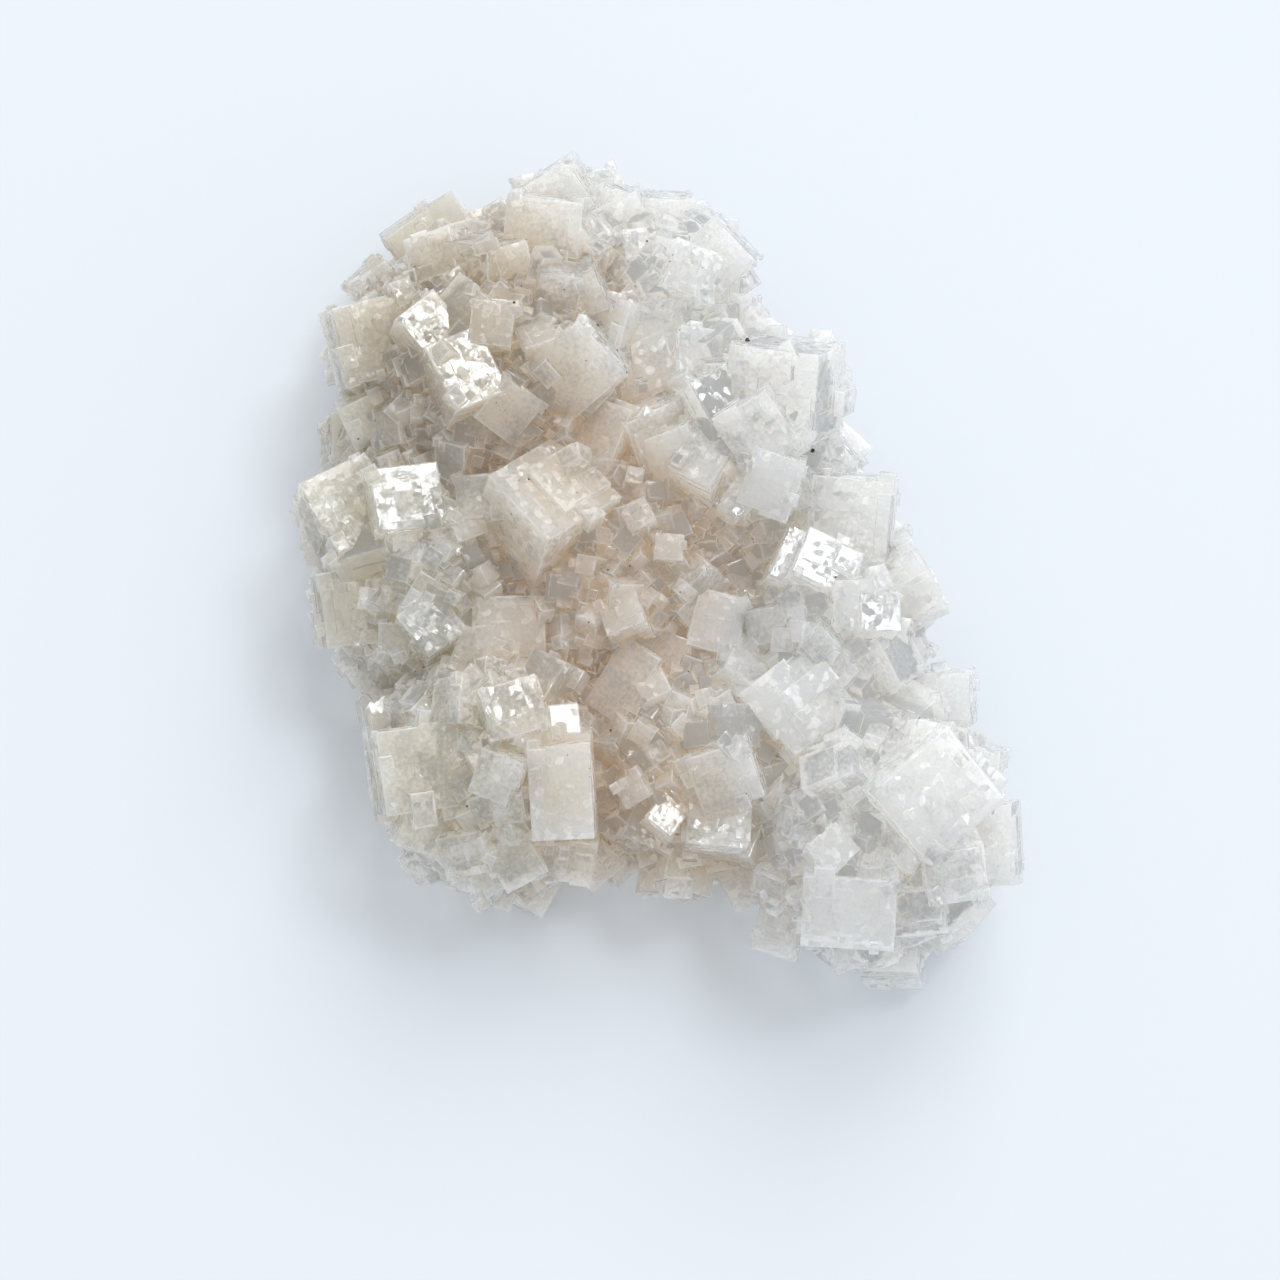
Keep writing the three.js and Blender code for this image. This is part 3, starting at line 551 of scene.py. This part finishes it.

# %% [markdown]
# ## How deep a place lies, and how warm and shaded it looks
# Between the crystals the salt holds a trace of clay, and light that has bounced about in a hollow comes out warmer;
# both are painted into the colour, with painted shade that grows the deeper a place lies. Four numbers at each point
# steer that: how far it lies below the crystals around it, how near it is to the long hollow between the two lobes,
# how far it is to the right side of that hollow, paler partly for cleaner salt and partly for painted light, and how
# much a patch of painted shade on the upper left reaches it.

# %% Depth, warmth and painted shade at each point
HOLLOW = np.array([(-17.5, 29), (-16, 20), (-12, 12), (-3, 0), (-5, -10), (-4, -20), (-1.5, -29)], float)


def line_distance(points, line):
    """Least distance to a run of straight pieces: each point is dropped square onto every piece."""
    start, along = line[:-1], np.diff(line, axis=0)
    share = ((points[:, None] - start) * along).sum(-1) / (along**2).sum(-1)
    foot = start + np.clip(share, 0, 1)[..., None] * along
    return np.linalg.norm(points[:, None] - foot, axis=-1).min(1)


def depth_below(points, cell=1.5, reach=3):
    """Highest point in each square cell of ground, averaged over the cells around, less the point's own height."""
    grid = np.round((points[:, :2] - points[:, :2].min(0)) / cell).astype(int) + reach
    tops = np.zeros(grid.max(0) + reach + 1)
    np.maximum.at(tops, (grid[:, 0], grid[:, 1]), points[:, 2])
    shifts = range(-reach, reach + 1)
    around = np.mean([np.roll(tops, (i, j), (0, 1)) for i in shifts for j in shifts], axis=0)
    return around[grid[:, 0], grid[:, 1]] - points[:, 2]


# middle and reach of a patch of painted shade that darkens the upper left
SHADE_MIDDLE, SHADE_REACH = (-23, 22), 14  # mm

skin = np.empty(len(grown.vertices) * 3, np.float32)
grown.vertices.foreach_get("co", skin)
skin = skin.reshape(-1, 3) / MM
# depth below the crystals around: the deeper, the more painted shade
depth = np.clip(depth_below(skin) / 4 + 0.35, 0, 1)
away = line_distance(skin[:, :2], HOLLOW)
near = np.exp(-((away / 11) ** 2))
right = np.sign(skin[:, 0] - np.interp(skin[:, 1], HOLLOW[::-1, 1], HOLLOW[::-1, 0])) * away
# the right side of the hollow is paler, partly cleaner salt and partly painted light from the right
clean_and_lit = 1 / (1 + np.exp(-(right - 4) / 4.5))
# a patch of painted shade on the upper left
clay_and_shade = np.exp(-(np.hypot(skin[:, 0] - SHADE_MIDDLE[0], skin[:, 1] - SHADE_MIDDLE[1]) / SHADE_REACH) ** 2)
for name, values in (("depth", depth), ("near", near), ("clean_and_lit", clean_and_lit), ("clay_and_shade", clay_and_shade)):
    grown.attributes.new(name, "FLOAT", "POINT").data.foreach_set("value", values.astype(np.float32))
print("depth below the crystals around", depth.min().round(2), "to", depth.max().round(2))

# %% [markdown]
# ## A short way to write shader maths
# A shader is a sum on values that change over the surface. Written as Math nodes it is a page of links, so a small
# class wraps a socket and lets Python's own signs make the nodes.

# %% Sockets with signs
class Value:
    """A socket that can be added, subtracted and multiplied, with numbers or others like it."""

    def __init__(self, socket):
        self.socket, self.tree = socket, socket.id_data

    def math(self, operation, *others):
        return Value(add_node(self.tree, "ShaderNodeMath", {"operation": operation}, *others).outputs[0])

    def __add__(self, other):
        return self.math("ADD", self, other)

    def __sub__(self, other):
        return self.math("SUBTRACT", self, other)

    def __rsub__(self, other):
        return self.math("SUBTRACT", other, self)

    def __mul__(self, other):
        return self.math("MULTIPLY", self, other)

    __radd__, __rmul__ = __add__, __mul__

    def least(self, other):
        return self.math("MINIMUM", self, other)

    def between(self, low, high):
        """0 below low, 1 above high, smooth between."""
        settings = {"interpolation_type": "SMOOTHSTEP"}
        return Value(add_node(self.tree, "ShaderNodeMapRange", settings, self, low, high).outputs[0])


def add_node(tree, kind, settings=None, *values, **named):
    """One node: its settings first, then its sockets in order or by name, each a number or a link."""
    node = tree.nodes.new(kind)
    for key, value in (settings or {}).items():
        setattr(node, key, value)
    sockets = list(zip(node.inputs, values))
    sockets += [(node.inputs[key.replace("_", " ")], value) for key, value in named.items()]
    for socket, value in sockets:
        if isinstance(value, Value):
            value = value.socket
        if isinstance(value, bpy.types.NodeSocket):
            tree.links.new(value, socket)
        elif value is not None:
            socket.default_value = value
    return node


def blend_colours(tree, share, one, other):
    """The Mix node on colours: its seventh and eighth inputs are the colours, and its third output the result."""
    node = add_node(tree, "ShaderNodeMix", {"data_type": "RGBA"}, share)
    for socket, value in ((node.inputs[6], one), (node.inputs[7], other)):
        if isinstance(value, tuple):
            socket.default_value = (*value, 1)
        else:
            tree.links.new(value, socket)
    return node.outputs[2]


# %% [markdown]
# ## The salt
# Real rock salt is clear, IOR 1.544. What makes it white is veils of brine bubbles, fine growth steps and etching.
# So the finish is two shaders mixed by place: a milky one, whose light wanders under the surface and comes out
# nearby, and a clear one that bends light as glass does. Crystals differ in how much of each they are, and within
# a crystal the core and the edges are milkier than the band between.

# %% The crystal material
SALT_IOR = 1.544
WORN = 0.12  # mm from the edge over which it is worn round
LET_BY = (0.65, 0.65, 0.65)  # share of a lamp's light that passes the skin
WALL_WARM, WALL_MEAN, WALL_CLEAN = (0.72, 0.66, 0.57), (0.79, 0.76, 0.70), (0.93, 0.93, 0.92)


def halite():
    material = bpy.data.materials.new("halite")
    material.use_nodes = True
    tree = material.node_tree
    tree.nodes.clear()

    def attribute(name):
        return Value(add_node(tree, "ShaderNodeAttribute", {"attribute_name": name}).outputs["Fac"])

    names = ("white", "clear", "polish", "grain", "depth", "near", "clean_and_lit", "clay_and_shade")
    white, clear, polish, grain, depth, near, clean_and_lit, clay_and_shade = map(attribute, names)
    place = add_node(tree, "ShaderNodeUVMap", {"uv_map": "place"}).outputs[0]
    half = add_node(tree, "ShaderNodeUVMap", {"uv_map": "half"}).outputs[0]
    spot = add_node(tree, "ShaderNodeTexCoord").outputs["Object"]

    def split(vector):
        made = add_node(tree, "ShaderNodeSeparateXYZ", None, vector)
        return [Value(socket) for socket in made.outputs]

    def vector_sum(operation, *vectors, **named):
        return add_node(tree, "ShaderNodeVectorMath", {"operation": operation}, *vectors, **named)

    def mixed(share, one, other):
        return add_node(tree, "ShaderNodeMixShader", None, share, one, other).outputs[0]

    def noise(scale, detail, where=spot, dimensions="3D"):
        settings = {"noise_dimensions": dimensions}
        named = {"Vector": where, "Scale": scale, "Detail": detail}
        return Value(add_node(tree, "ShaderNodeTexNoise", settings, **named).outputs[0])

    u, v, _ = split(place)
    half_u, half_v, _ = split(half)
    inside_u = half_u - u.math("ABSOLUTE", u)
    inside_v = half_v - v.math("ABSOLUTE", v)
    inside = inside_u.least(inside_v)  # mm to the nearest edge of the crystal's side
    shift = vector_sum("SCALE", (37.0, 91.0, 0.0), Scale=grain)
    on_side = vector_sum("ADD", place, shift.outputs[0]).outputs[0]
    fine = noise(2.2, 2, on_side, "2D")  # mm along the side, so every side has a pattern of its own
    ragged = inside + (fine - 0.5) * 0.5
    cloud = noise(280, 1.5)
    patches = noise(120, 0)
    # the edge zone: a painted highlight in the colour below, and a rougher, milkier finish
    edge = (1 - ragged.between(0.03, 0.22)) * cloud.between(0.3, 0.6)

    # growth steps run parallel to the edges, finer than the terraces of the mesh
    across = inside * 9 + cloud * 5
    bands = across.math("SINE", across) * 0.5 + 0.5
    etched = (cloud * 0.8 + white * 0.6 + grain * 0.4 - polish * 0.3 - 0.1).between(0.5, 1.1)

    # crumbs: each cell of a Voronoi pattern is a small flat facet with a tilt of its own
    cells = add_node(tree, "ShaderNodeTexVoronoi", {"voronoi_dimensions": "2D"}, Vector=on_side, Scale=1.5)
    from_middle = vector_sum("SUBTRACT", on_side, cells.outputs["Position"]).outputs[0]
    tilt = vector_sum("SUBTRACT", cells.outputs["Color"], (0.5, 0.5, 0.5)).outputs[0]
    facets = Value(vector_sum("DOT_PRODUCT", from_middle, tilt).outputs["Value"])
    rounded = inside.least(WORN) * 0.0006  # the edges are worn round
    crumbs = facets * (etched * 0.0010 + 0.0002) * (1 - polish * 0.6) + rounded
    relief = bands * (etched * 0.3 + 0.03) + fine * (etched * 2.4 + 0.25)
    height = crumbs + relief * 0.00004  # all in metres
    bump = add_node(tree, "ShaderNodeBump", None, Strength=1.0, Distance=1.0, Height=height).outputs[0]

    # the colour: paler right of the hollow and darker left of it, partly the salt's own tone and partly painted
    # light; warm inside it, partly clay and partly painted bounce light and shade that darkens with depth; a patch of
    # painted grey-brown shade on the upper left; a painted highlight at the edges
    clay_tint_and_warm_shade = (near * 0.9 + depth * 0.3 + (patches - 0.5) * 0.5).between(0.1, 1.05)
    paleness = (white * 0.7 + clean_and_lit * 0.2 + (cloud - 0.5) + (fine - 0.5) * 0.6).between(0.1, 0.9)
    # painted light: paler on the right of the hollow, darker on the left, partly the salt's own tone
    side_tone_and_light = blend_colours(tree, clean_and_lit, (0.64, 0.61, 0.53), (0.81, 0.81, 0.80))
    pale = blend_colours(tree, paleness, side_tone_and_light, (0.84, 0.84, 0.83))
    # painted shade: the deeper the place, the darker the warm colour
    warm = blend_colours(tree, depth, (0.775, 0.67, 0.56), (0.74, 0.63, 0.525))
    body = blend_colours(tree, clay_tint_and_warm_shade, pale, warm)
    # painted shade: a grey-brown patch on the upper left
    with_upper_left_shade = blend_colours(tree, clay_and_shade * 0.85, body, (0.46, 0.415, 0.34))
    # painted highlight: a pale line along the edges
    colour = blend_colours(tree, edge * 0.25, with_upper_left_shade, (0.98, 0.98, 0.975))
    # the glass is tinted warm by the same mask: partly clay, partly painted warm shade
    tinted = blend_colours(tree, clay_tint_and_warm_shade, (0.985, 0.99, 0.985), (0.97, 0.93, 0.87))

    milk = add_node(tree, "ShaderNodeBsdfPrincipled", None, Base_Color=colour, Normal=bump,
                    Roughness=0.05 + etched * 0.22 + edge * 0.05, IOR=SALT_IOR, Subsurface_Weight=1.0,
                    Subsurface_Radius=(1.0, 0.86, 0.7), Subsurface_Scale=0.025)
    glass = add_node(tree, "ShaderNodeBsdfPrincipled", None, Base_Color=tinted, Normal=bump,
                     Roughness=0.03 + etched * 0.2, IOR=SALT_IOR, Transmission_Weight=1.0)
    veils = (cloud - 0.5) * 0.9 + (fine - 0.5) * 0.7 + etched * 0.2 + white * 0.4
    clearness = (clear * 0.9 + 0.35 - veils).between(0.1, 0.9)
    see_through = (clearness * 0.35 + 0.15) * (1 - edge * 0.4) * (1 - depth * 0.3)
    outside = mixed(see_through, milk.outputs[0], glass.outputs[0])

    # from within, the skin is a milky wall that lets the light of the room through, and bright where it rests
    def wall(kind, tone):
        return add_node(tree, kind, None, Color=(*tone, 1)).outputs[0]

    # the wall's warm and clean tones follow the same painted warm shade and the painted light on the right
    translucent = [wall("ShaderNodeBsdfTranslucent", tone) for tone in (WALL_WARM, WALL_CLEAN)]
    lets_in = mixed(clean_and_lit * (1 - clay_tint_and_warm_shade), *translucent)
    off_ground = split(spot)[2].between(0.0002, 0.004)  # over the lowest four millimetres
    from_within = mixed(0.75 * off_ground, wall("ShaderNodeBsdfDiffuse", WALL_MEAN), lets_in)
    within = add_node(tree, "ShaderNodeNewGeometry").outputs["Backfacing"]
    skin = mixed(within, outside, from_within)

    lamp_light = add_node(tree, "ShaderNodeLightPath").outputs["Is Shadow Ray"]
    let_by = add_node(tree, "ShaderNodeBsdfTransparent", None, Color=(*LET_BY, 1))
    surface = mixed(lamp_light, skin, let_by.outputs[0])
    absorb = add_node(tree, "ShaderNodeVolumeAbsorption", None, Color=(0.92, 0.885, 0.825, 1), Density=2.0)
    add_node(tree, "ShaderNodeOutputMaterial", None, Surface=surface, Volume=absorb.outputs[0])
    return material


salt = halite()
grown.materials.clear()
grown.materials.append(salt)
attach(cluster, "root")
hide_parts("halite_cluster")
print(len(salt.node_tree.nodes), "nodes in the salt")

# %% [markdown]
# ## Specks
# A wild-grown cluster carries a little dirt: dark grains of clay and soot, from a tenth to half a millimetre, that
# sit on faces and in corners. Each is a ball's grid pushed out of round, half sunk where the skin is nearest.

# %% Dark grains on the skin
SPECKS = np.array([  # place near the skin, and width
    (9.0, 18.4, 26.4, 0.62),
    (15.5, 8.6, 21.8, 0.42),
    (-13.8, 21.9, 28.0, 0.32),
    (-23.8, 27.7, 21.1, 0.26),
    (-29.6, 11.0, 17.3, 0.26),
    (-0.8, 30.2, 21.6, 0.26),
    (-12.0, 5.2, 24.4, 0.26),
    (-13.2, 24.6, 24.6, 0.2),
    (-22.9, -11.8, 15.1, 0.26),
    (-4.3, -18.8, 18.3, 0.26),
    (-4.6, -3.6, 22.1, 0.22),
    (-2.5, -2.9, 21.1, 0.2),
    (-18.3, -26.6, 19.9, 0.2),
    (-4.0, 18.1, 23.5, 0.22),
    (17.5, -4.8, 24.3, 0.22),
    (25.8, -17.6, 18.6, 0.22),
    (8.3, -15.8, 20.1, 0.2),
    (-5.7, 21.0, 23.2, 0.3),
])
DUST = 60
serial = np.arange(DUST)
dust = np.column_stack([
    -4 + 26 * (scatter(serial, 2) - 0.5),
    2 + 60 * (scatter(serial, 3) - 0.5),
    np.full(DUST, 26.0),
    0.09 + 0.08 * scatter(serial, 5) ** 2,
])
specks = np.concatenate([SPECKS, dust])


def grains(places, widths):
    """A cube's grid pushed out to unit length, each point moved by up to a quarter, sized by half the width."""
    points, quads, _ = cube_grid(3)
    ball = points - 1.5
    ball /= np.linalg.norm(ball, axis=1)[:, None]
    rough = 1 + np.random.default_rng(7).uniform(-0.25, 0.25, (len(places), len(points), 1))
    squash = np.random.default_rng(8).uniform(0.7, 1.1, (len(places), 1, 3))
    world = places[:, None] + ball * rough * squash * widths[:, None, None] / 2
    return world.reshape(-1, 3), (quads + np.arange(len(places))[:, None, None] * len(points)).reshape(-1, 4)


bpy.context.view_layer.update()
found = np.array([cluster.closest_point_on_mesh(tuple(place * MM))[1] for place in specks[:, :3]]) / MM
speck_points, speck_quads = grains(found, specks[:, 3])
speck_mesh = bpy.data.meshes.new("dark_grains")
speck_mesh.from_pydata((speck_points * MM).tolist(), [], speck_quads.tolist())
dark_grains = bpy.data.objects.new("dark_grains", speck_mesh)
bpy.context.scene.collection.objects.link(dark_grains)

clay_and_shade = bpy.data.materials.new("clay_grain")
clay_and_shade.use_nodes = True
clay_tree = clay_and_shade.node_tree
clay_place = add_node(clay_tree, "ShaderNodeTexCoord").outputs["Object"]
clay_noise = Value(add_node(clay_tree, "ShaderNodeTexNoise", None, Vector=clay_place, Scale=4000.0).outputs[0])
clay_shader = clay_tree.nodes["Principled BSDF"]
clay_colour = blend_colours(clay_tree, clay_noise.between(0.35, 0.7), (0.012, 0.011, 0.010), (0.07, 0.045, 0.03))
clay_tree.links.new(clay_colour, clay_shader.inputs["Base Color"])
clay_shader.inputs["Roughness"].default_value = 0.55
speck_mesh.materials.append(clay_and_shade)
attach(dark_grains, "root")
print(len(specks), "grains")

# %% [markdown]
# ## Floor, light and camera
# A pale floor runs past the view on every side. The key light is a window-sized panel a long way off, so that clean
# faces at the right tilt mirror it as a small bright patch; a wide panel beside it softens the shadow.

# %% The floor
floor_mesh = bpy.data.meshes.new("floor")
floor_mesh.from_pydata([(-4, -4, 0), (4, -4, 0), (4, 4, 0), (-4, 4, 0)], [], [(0, 1, 2, 3)])
floor = bpy.data.objects.new("floor", floor_mesh)
bpy.context.scene.collection.objects.link(floor)
paper = bpy.data.materials.new("pale_paper")
paper.use_nodes = True
paper_shader = paper.node_tree.nodes["Principled BSDF"]
paper_shader.inputs["Base Color"].default_value = (0.702, 0.750, 0.812, 1)
paper_shader.inputs["Roughness"].default_value = 0.9
paper_shader.inputs["Specular IOR Level"].default_value = 0.1
floor_mesh.materials.append(paper)

# %% The lights
def panel(name, azimuth, elevation, distance, size, power, colour):
    """A square area light that faces the cluster; azimuth turns from the viewer's side towards +X."""
    a, e = azimuth * DEGREE, elevation * DEGREE
    towards = np.array([np.sin(a) * np.cos(e), -np.cos(a) * np.cos(e), np.sin(e)])
    light = bpy.data.lights.new(name, "AREA")
    light.shape, light.size, light.energy, light.color = "SQUARE", size, power, colour
    lamp = bpy.data.objects.new(name, light)
    lamp.location = towards * distance
    lamp.rotation_euler = Vector(towards).to_track_quat("Z", "Y").to_euler()
    bpy.context.scene.collection.objects.link(lamp)
    return lamp


panel("window", 125.5, 61.4, 3.0, 0.6, 17, (0.92, 0.965, 1.0))
panel("wide_panel", 160, 45, 2.2, 1.4, 25, (1.0, 0.99, 0.965))

world = bpy.data.worlds.new("studio")
bpy.context.scene.world = world
world.use_nodes = True
world.node_tree.nodes["Background"].inputs["Color"].default_value = (0.985, 0.985, 0.98, 1)
world.node_tree.nodes["Background"].inputs["Strength"].default_value = 0.745
bpy.context.scene.view_settings.view_transform = "Standard"
bpy.context.scene.view_settings.look = "None"

# %% The camera
AIM = np.array([-1.5, -8.4, 12.0]) * MM
DISTANCE, ELEVATION = 0.4, 78
camera_data = bpy.data.cameras.new("camera")
camera_data.lens, camera_data.sensor_width = 112.5, 36
camera = bpy.data.objects.new("camera", camera_data)
e = ELEVATION * DEGREE
camera.location = AIM + DISTANCE * np.array([0, -np.cos(e), np.sin(e)])
camera.rotation_euler = (np.pi / 2 - e, 0, 0)
bpy.context.scene.collection.objects.link(camera)
bpy.context.scene.camera = camera
